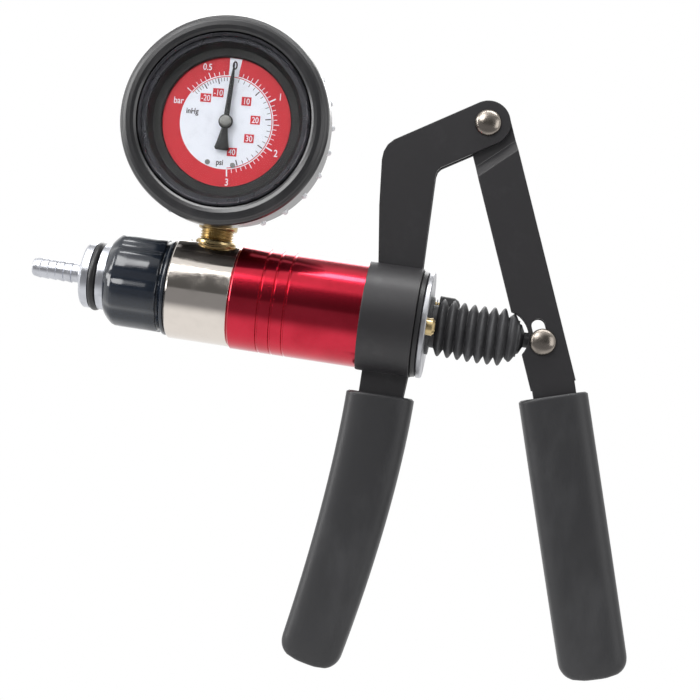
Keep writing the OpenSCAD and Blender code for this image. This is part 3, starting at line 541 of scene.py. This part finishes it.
# %% rivets
def rivet(node, head, rise, rows=26, cols=72):
    """Profile of distance out against place across: out = head * sin(t), place = face +
    rise * cos(t) for each head, with the straight shank between the two heads."""
    low, high = (np.array(c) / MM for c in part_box(node))
    middle = (low + high) / 2
    t = np.linspace(0.0, np.pi / 2, rows)
    near_out, near_y = head * np.sin(t), low[1] + rise * (1 - np.cos(t))
    shank = min(high[0] - low[0], high[2] - low[2]) / 2 * 0.43
    out = np.concatenate([near_out, [head - 0.12, shank, shank, head - 0.12], near_out[::-1]])
    y = np.concatenate([near_y, [low[1] + rise + 0.1] * 2, [high[1] - rise - 0.1] * 2,
                        high[1] - rise * (1 - np.cos(t[::-1]))])
    a = np.linspace(0, 2 * np.pi, cols, endpoint=False)[None, :]
    return np.stack([middle[0] + out[:, None] * np.cos(a), y[:, None] + 0 * a,
                     middle[2] + out[:, None] * np.sin(a)], -1)


for node, body in (("pivot_rivet", "pump"), ("rod_pin", "rod")):
    low, high = (np.array(c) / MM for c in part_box(node))
    head = (high[0] - low[0]) / 2
    piece = grid_piece(node + "_dome", rivet(node, head, head * 0.48), body,
                       made["rivet_nickel"])
    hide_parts(node)


# %% [markdown]
# ## Pointer
# The pointer is a thin blanked blade. It tapers to a point at the front, swells into a hub
# and ends in a fan that balances it. Its half width is a function of the distance from the
# pivot, and the blade is slightly crowned, as blanking leaves it.

# %% pointer
DIAL_CENTRE = np.array(GAUGE) / MM


def pointer(rows=240):
    """Half width at s: the larger of a straight taper and the hub's circle in front; behind,
    the larger of that circle and a fan that widens as |s| ** 1.6 and rounds off at its end."""
    low, high = (np.array(c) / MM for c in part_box("needle"))
    s = np.concatenate([[-10.3], np.linspace(-10.3, high[2] - DIAL_CENTRE[2], rows)])
    hub = np.sqrt(np.clip(2.6 ** 2 - s ** 2, 0, None))
    front = np.interp(s, [0, 15, high[2] - DIAL_CENTRE[2]], [1.0, 0.75, 0.03])
    fan = 0.95 + 1.95 * (np.abs(s) / 10.3) ** 1.6
    fan = fan * np.sqrt(np.clip((s + 10.3) / 0.7, 0, 1) * 0.5 + 0.5)
    half = np.maximum(hub, np.where(s >= 0, front, fan))
    half[0] = half[1]
    edge = np.array([[-1, 0.5], [-0.98, 0.1], [-0.5, 0.02], [0, 0], [0.5, 0.02], [0.98, 0.1],
                     [1, 0.5]])
    u = half[:, None] * edge[None, :, 0]
    y = low[1] + (high[1] - low[1]) * np.minimum(edge[None, :, 1] * 2, 1) + 0 * u
    return np.stack([DIAL_CENTRE[0] + u, y, DIAL_CENTRE[2] + s[:, None] + 0 * u], -1)


piece = grid_piece("needle_blade", pointer(), "pointer", made["needle_black"],
                   close_ends=True)
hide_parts("needle")


# %% [markdown]
# ## Selector collar
# The collar is moulded with eight broad lobes and shallow grooves between them, which give
# the fingers a hold. It has a long chamfer in front, and a flared rim behind a narrow step.
# Its back face has a ring-shaped recess where the detent ball runs. The grooves are widest
# and deepest on the body and fade out on the chamfer and at the rim.

# %% collar
def collar(lobes=8, depth=1.0, cols=384):
    """out(x, a) = profile(x) - depth * share(x) * ((1 + cos(lobes * a)) / 2) ** 3. The profile
    goes from the bore round the outside and back, so the last row meets the first."""
    low, high = (np.array(c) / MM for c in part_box("selector_collar"))
    x0, x1, r = low[0], high[0], high[2] - 0.3
    corners = np.array([
        [x0, 9.1, 0], [x0, r - 3.8, 0], [x0 + 0.25, r - 3.3, 0.1], [x0 + 1.2, r - 2.2, 0.4],
        [x0 + 2.4, r - 1.1, 0.7], [x0 + 3.4, r - 0.4, 0.9], [x0 + 4.6, r, 1], [x1 - 3.5, r, 1],
        [x1 - 3.15, r - 0.3, 0.9], [x1 - 3.05, r - 1.3, 0.3], [x1 - 2.3, r - 1.2, 0.1],
        [x1 - 1.7, r - 0.4, 0], [x1 - 1.2, r + 0.2, 0], [x1 - 0.8, r + 0.3, 0],
        [x1 - 0.35, r + 0.25, 0], [x1, r - 0.2, 0], [x1, 15.1, 0], [x1 - 1.0, 14.9, 0],
        [x1 - 1.0, 11.9, 0], [x1, 11.7, 0], [x1, 9.1, 0], [x0, 9.1, 0]])
    at = np.linspace(0, len(corners) - 1, (len(corners) - 1) * 4 + 1)
    x, out, share = (np.interp(at, np.arange(len(corners)), c)[:, None] for c in corners.T)
    a = np.linspace(0, 2 * np.pi, cols, endpoint=False)[None, :]
    out = out - depth * share * ((1 + np.cos(lobes * a)) / 2) ** 3
    return np.stack([x + 0 * a, out * np.sin(a), out * np.cos(a)], -1)


piece = grid_piece("collar_lobes", collar(), "collar", made["collar_plastic"])
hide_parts("selector_collar")


# %% [markdown]
# ## Band of nubs
# A clear vinyl band sits in a groove of the boot, with a round nub every 13.85 degrees that
# keeps the gauge from rolling. The groove fixes its place. A nub is a dome on a short waist,
# one surface turned about the line that points out of the gauge, and its copies are the
# same surface turned by whole steps. They are all built at once as one array.

# %% band of nubs
def nubs(count, first, step, base, tip, thick, rows=26, cols=28):
    """t runs from the waist to the crown: out = base + (tip - base) * sin(t),
    radius = thick * cos(t) ** 0.8 with a flared foot. Copy k is turned by first + k * step."""
    t = np.linspace(0, np.pi / 2, rows)[None, :, None]
    a = np.linspace(0, 2 * np.pi, cols, endpoint=False)[None, None, :]
    out = base + (tip - base) * np.sin(t)
    radius = thick * np.clip(np.cos(t), 0, 1) ** 0.6 * (1 + 0.16 * np.exp(-t * 7))
    side, depth = radius * np.cos(a), radius * np.sin(a)
    turn = np.radians(first + step * np.arange(count))[:, None, None]
    u = out * np.sin(turn) + side * np.cos(turn)
    v = out * np.cos(turn) - side * np.sin(turn)
    return np.stack([u, depth + 0 * u, v], -1)


low, high = (np.array(c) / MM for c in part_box("nub_ring"))
ring_centre = np.array([GAUGE[0] / MM, (low[1] + high[1]) / 2, GAUGE[2] / MM])
reach = high[0] - ring_centre[0]
dots = nubs(23, 207.7, 13.85, reach - 2.2, reach + 1.2, 1.35) + ring_centre
turn = np.radians(np.linspace(201.5, 518.5, 260))[:, None]
edge = np.array([[-2.1, -1.62], [-0.75, -1.62], [-0.55, -1.35], [-0.55, 1.35], [-0.75, 1.62],
                 [-2.1, 1.62]])[None]
out = reach + edge[..., 0]
strip = np.stack([out * np.sin(turn), edge[..., 1] + 0 * turn, out * np.cos(turn)], -1) + ring_centre
copies, rows, cols = dots.shape[:3]
firsts = (np.arange(copies) * rows * cols)[:, None, None]
dot_faces = (grid_faces(rows, cols)[None] + firsts).reshape(-1, 4)
n, m = strip.shape[:2]
base = dots.size // 3
strip_faces = grid_faces(n, m) + base
ends = [[base + q for q in range(m)][::-1], [base + (n - 1) * m + q for q in range(m)]]
mesh = bpy.data.meshes.new("nub_band")
mesh.from_pydata((np.concatenate([dots.reshape(-1, 3), strip.reshape(-1, 3)]) * MM).tolist(), [],
                 dot_faces.tolist() + strip_faces.tolist() + ends)
piece = settle("nub_band", mesh, "pump", made["clear_band"])
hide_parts("nub_ring")


# %% [markdown]
# ## Printed scale
# The scale is printed over the red enamel in flat ink. Angles run clockwise from straight
# up, and one bar takes 57 degrees, from -1 to 3. White marks for bar stand outside a fine
# arc, dark marks for psi and inches of mercury inside it, with their numbers in small red
# boxes. Each colour of ink is one thin sheet just above the one under it.

# %% helpers that lay flat ink on the dial
DIAL = [GAUGE[0] / MM, min(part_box("dial_plate")[0][1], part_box("dial_plate")[1][1]) / MM,
        GAUGE[2] / MM]
BAR = 57.0


def on_dial(u, v, layer):
    """Dial coordinates, right and up in mm, as points on a sheet facing the reader."""
    return np.stack([DIAL[0] + u, np.full_like(u, DIAL[1] - 0.035 * layer), DIAL[2] + v], -1)


def polar(angle, radius):
    a = np.radians(angle)
    return radius * np.sin(a), radius * np.cos(a)


def band(first, last, inner, outer, layer, steps=160):
    """A ring or an arc: a grid of two radii by many angles."""
    a = np.linspace(first, last, steps)
    rim, core = on_dial(*polar(a, outer), layer), on_dial(*polar(a, inner), layer)
    points = np.concatenate([core, rim])
    i = np.arange(steps - 1)
    return points, np.stack([i, i + 1, i + 1 + steps, i + steps], -1).tolist()


def marks(angles, inner, outer, wide, layer):
    """Radial bars: each is a rectangle `wide` across, from the inner to the outer radius."""
    a = np.radians(np.asarray(angles, float))[:, None]
    r = np.array([inner, inner, outer, outer])[None, :]
    side = np.array([-1, 1, 1, -1])[None, :] * wide / 2
    u = r * np.sin(a) + side * np.cos(a)
    v = r * np.cos(a) - side * np.sin(a)
    points = on_dial(u.ravel(), v.ravel(), layer)
    return points, np.arange(len(points)).reshape(-1, 4).tolist()


def letters(text, angle, radius, height, layer, thicken=0.0, squeeze=0.84):
    """Flat type centred on a place, set 3.5 degrees off level like the rest of the print."""
    curve = bpy.data.curves.new("type", "FONT")
    curve.body, curve.size = text, height / 0.7
    curve.align_x, curve.align_y, curve.offset = "CENTER", "CENTER", thicken
    carrier = bpy.data.objects.new("type", curve)
    bpy.context.scene.collection.objects.link(carrier)
    bpy.context.view_layer.update()
    mesh = bpy.data.meshes.new_from_object(carrier.evaluated_get(
        bpy.context.evaluated_depsgraph_get()))
    flat = np.array([v.co for v in mesh.vertices], float).reshape(-1, 3)
    faces = [list(p.vertices) for p in mesh.polygons]
    bpy.data.objects.remove(carrier)
    tilt = math.radians(3.5)
    u, v = flat[:, 0] * squeeze, flat[:, 1] - (flat[:, 1].max() + flat[:, 1].min()) / 2
    cu, cv = polar(angle, radius)
    return on_dial(cu + u * math.cos(tilt) - v * math.sin(tilt),
                   cv + u * math.sin(tilt) + v * math.cos(tilt), layer), faces


def box_at(angle, radius, wide, tall, layer):
    cu, cv = polar(angle, radius)
    tilt = math.radians(3.5)
    u, v = np.array([-1, 1, 1, -1]) * wide / 2, np.array([-1, -1, 1, 1]) * tall / 2
    return on_dial(cu + u * math.cos(tilt) - v * math.sin(tilt),
                   cv + u * math.sin(tilt) + v * math.cos(tilt), layer), [[0, 1, 2, 3]]


def print_ink(name, sheets, finish):
    """Joins flat sheets of one ink into one piece whose faces all look at the reader."""
    points, faces, start = [], [], 0
    for p, f in sheets:
        points.append(p * MM)
        faces += [[start + k for k in face] for face in f]
        start += len(p)
    mesh = bpy.data.meshes.new(name)
    mesh.from_pydata(np.concatenate(points).tolist(), [], faces)
    mesh.update()
    work = bmesh.new()
    work.from_mesh(mesh)
    work.normal_update()
    bmesh.ops.reverse_faces(work, faces=[f for f in work.faces if f.normal.y > 0])
    work.to_mesh(mesh)
    work.free()
    return settle(name, mesh, "pump", finish, smooth=False)


# %% print the dial
first, last = -BAR, 3 * BAR
tenths = np.arange(-10, 31) * BAR / 10
halves = np.arange(-2, 7) * BAR / 2
psi = BAR * 0.0689476
inches = BAR * 0.0338639
wedge = on_dial(np.array([-1.45, 1.45, 2.25, -2.25]), np.array([14.2, 14.2, 23.05, 23.1]), 2)
print_ink("dial_white", [
    band(0, 360, 0.01 + 1.65, 16.9, 1), (wedge, [[0, 1, 2, 3]]),
    marks(tenths[tenths != 0], 17.0, 18.3, 0.24, 2), marks(halves[halves != 0], 17.0, 19.0, 0.3, 3),
    marks(np.array([1, 2, 3]) * BAR, 17.0, 19.5, 0.5, 4),
    letters("0.5", -27.5, 21.2, 2.3, 2, 0.02), letters("1", BAR, 21.3, 2.5, 2, 0.03),
    letters("2", 2 * BAR, 21.1, 2.5, 2, 0.03), letters("3", 3 * BAR, 21.5, 2.5, 2, 0.03),
    letters("bar", -73.2, 19.2, 2.3, 2, 0.04)], INK["white"])
BOXED = [("-20", -48.7, 11.7), ("-10", -24.3, 11.1), ("10", 35.5, 10.3), ("20", 78.0, 10.4),
         ("30", 117.7, 10.1), ("40", 160.8, 10.9)]
print_ink("dial_boxes", [band(first, last, 16.25, 16.55, 3)] + [
    box_at(a, r, 3.9 if t[0] == "-" else 3.5, 3.1, 3) for t, a, r in BOXED], INK["red"])
print_ink("dial_numbers", [letters(t, a, r, 2.1, 4, 0.02, 0.84) for t, a, r in BOXED],
          INK["white"])
print_ink("dial_dark", [
    marks(np.arange(1, 22) * 2 * psi, 14.8, 16.1, 0.22, 3),
    marks(np.arange(1, 5) * 10 * psi, 14.0, 16.1, 0.38, 4),
    marks(-np.arange(1, 15) * 2 * inches, 14.8, 16.1, 0.22, 3),
    marks(-np.array([10, 20]) * inches, 14.0, 16.1, 0.38, 4),
    letters("0", 0.0, 20.6, 2.9, 4, 0.1, 0.9), letters("inHg", -80.7, 13.0, 2.0, 3, 0.05),
    letters("psi", 180.8, 14.9, 2.0, 3, 0.05)], INK["dark"])


# %% [markdown]
# ## Studio
# The pump stands on a pale floor in a white room. One large soft lamp is up on the left, a
# tall one stands at the left side and rims the edges there, a weaker one fills from the
# right, and a long strip overhead draws a highlight along the metal. The room is white where
# it is seen directly, and gives only a quiet light otherwise, so nothing clips. Polished
# metal needs something dark to mirror, so the mirrored room has one broad dark panel in front
# and above, and the mirrored floor has a dark card in front, as a photographer would lay
# black card. The floor turns into plain white further out, and keeps the pump's shadow.

# %% floor and room
box_low, box_high = (np.array(c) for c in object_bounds())
centre = (box_low + box_high) / 2


def floor(radius=3.0, rings=24, cols=96):
    """A disc: points at radius r and angle a, just under the lowest point of the pump."""
    r = np.linspace(0.0, radius, rings)[:, None]
    a = np.linspace(0, 2 * np.pi, cols, endpoint=False)[None, :]
    return np.stack([centre[0] + r * np.cos(a), centre[1] + r * np.sin(a),
                     0 * r * a + box_low[2] - 0.0006], -1)


points = floor()
faces = grid_faces(*points.shape[:2])[:, ::-1]
mesh = bpy.data.meshes.new("floor")
mesh.from_pydata(points.reshape(-1, 3).tolist(), [], faces.tolist())
ground = bpy.data.objects.new("floor", mesh)
bpy.context.scene.collection.objects.link(ground)
ground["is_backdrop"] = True

material, shader, place = begin("floor_paper", Roughness=0.9)
shader.inputs["Base Color"].default_value = (0.86, 0.86, 0.86, 1)
paths = material.node_tree.nodes.new("ShaderNodeLightPath")
seen = Wire(material.node_tree, paths.outputs["Is Camera Ray"])
glossy = Wire(material.node_tree, paths.outputs["Is Glossy Ray"])
through = Wire(material.node_tree, paths.outputs["Is Transmission Ray"])
white = seen.node("ShaderNodeEmission", {}, {"Color": (1, 1, 1, 1), "Strength": 1.0})
lit = Wire(material.node_tree, shader.outputs[0])
along, out = along_and_out(place, tuple(centre), "Z")
fade = out.sharpen(0.1, 0.42) * 0.3 + 0.7
share = seen.math("MAXIMUM", seen.math("MAXIMUM", seen, glossy), through) * fade
blended = seen.node("ShaderNodeMixShader", {}, {0: share, 1: lit, 2: white})
ahead, _ = along_and_out(place, tuple(centre), "Y")
card = glossy * (1 - seen) * out.sharpen(0.16, 0.3) * (0 - ahead).sharpen(0.08, 0.2) * 0.8
dim = seen.node("ShaderNodeEmission", {}, {"Color": (0.12, 0.12, 0.13, 1), "Strength": 1.0})
blended = seen.node("ShaderNodeMixShader", {}, {0: card, 1: blended, 2: dim})
material.node_tree.links.new(blended.socket,
                             material.node_tree.nodes["Material Output"].inputs[0])
mesh.materials.append(material)

world = bpy.data.worlds.new("room")
bpy.context.scene.world = world
world.use_nodes = True
tree = world.node_tree
paths = tree.nodes.new("ShaderNodeLightPath")
seen, glossy, through = (Wire(tree, paths.outputs[n]) for n in
                         ("Is Camera Ray", "Is Glossy Ray", "Is Transmission Ray"))
direct = seen.math("MAXIMUM", seen, through)
heading = Wire(tree, tree.nodes.new("ShaderNodeTexCoord").outputs["Generated"])
split = heading.node("ShaderNodeSeparateXYZ", {}, {0: heading}).socket.node
ahead_y, above = Wire(tree, split.outputs["Y"]), Wire(tree, split.outputs["Z"])
panel = above.sharpen(-0.26, -0.1) * (1 - above.sharpen(0.55, 0.75)) * (0 - ahead_y).sharpen(0.1, 0.5)
brow = above.sharpen(0.55, 0.8) * ahead_y.sharpen(0.15, 0.5)
mirrored = 0.95 - panel * 0.84 - brow * 0.6
strength = direct * 1.0 + (1 - direct) * (glossy * mirrored + (1 - glossy) * 0.34)
back = tree.nodes["Background"]
back.inputs["Color"].default_value = (1, 1, 1, 1)
tree.links.new(strength.socket, back.inputs["Strength"])


# %% lamps
def lamp(name, place, power, wide, tall):
    data = bpy.data.lights.new(name, "AREA")
    data.shape, data.size, data.size_y, data.energy = "RECTANGLE", wide, tall, power
    light = bpy.data.objects.new(name, data)
    bpy.context.scene.collection.objects.link(light)
    light.location = place
    light.rotation_euler = (Vector(centre) - Vector(place)).to_track_quat("-Z", "Y").to_euler()
    print("lamp", name, power, "W")


lamp("key", (-0.45, -0.75, 0.62), 7.6, 0.55, 0.55)
lamp("side", (-0.95, -0.3, 0.2), 8.0, 0.4, 0.9)
lamp("fill", (0.85, -0.55, 0.1), 2.6, 0.5, 0.8)
lamp("strip", (0.1, -0.15, 0.75), 4.0, 0.9, 0.14)
lamp("rear", (0.0, 0.8, 0.5), 4.0, 0.7, 0.5)


# %% [markdown]
# ## Camera
# A long lens keeps the round gauge round. The camera looks at the middle of the pump from
# just under its height and a little to the right, and is turned about its own line of sight
# so that the barrel slopes down to the right.

# %% camera
turn, rise, roll = (math.radians(v) for v in (5.4, -1.2, 8.76))
aim = Vector((0.1029, 0.0, -0.013))
ahead = Vector((-math.sin(turn) * math.cos(rise), math.cos(turn) * math.cos(rise),
                -math.sin(rise)))
right = Vector((math.cos(turn), math.sin(turn), 0))
up = right.cross(ahead)
x_axis = right * math.cos(roll) + up * math.sin(roll)
y_axis = up * math.cos(roll) - right * math.sin(roll)
lens = bpy.data.cameras.new("camera")
lens.lens, lens.sensor_width, lens.clip_start = 85.0, 36.0, 0.01
camera = bpy.data.objects.new("camera", lens)
bpy.context.scene.collection.objects.link(camera)
facing = Matrix((x_axis, y_axis, -ahead)).transposed().to_4x4()
camera.matrix_world = Matrix.Translation(aim - ahead * 0.6) @ facing
bpy.context.scene.camera = camera
bpy.context.scene.view_settings.view_transform = "Standard"
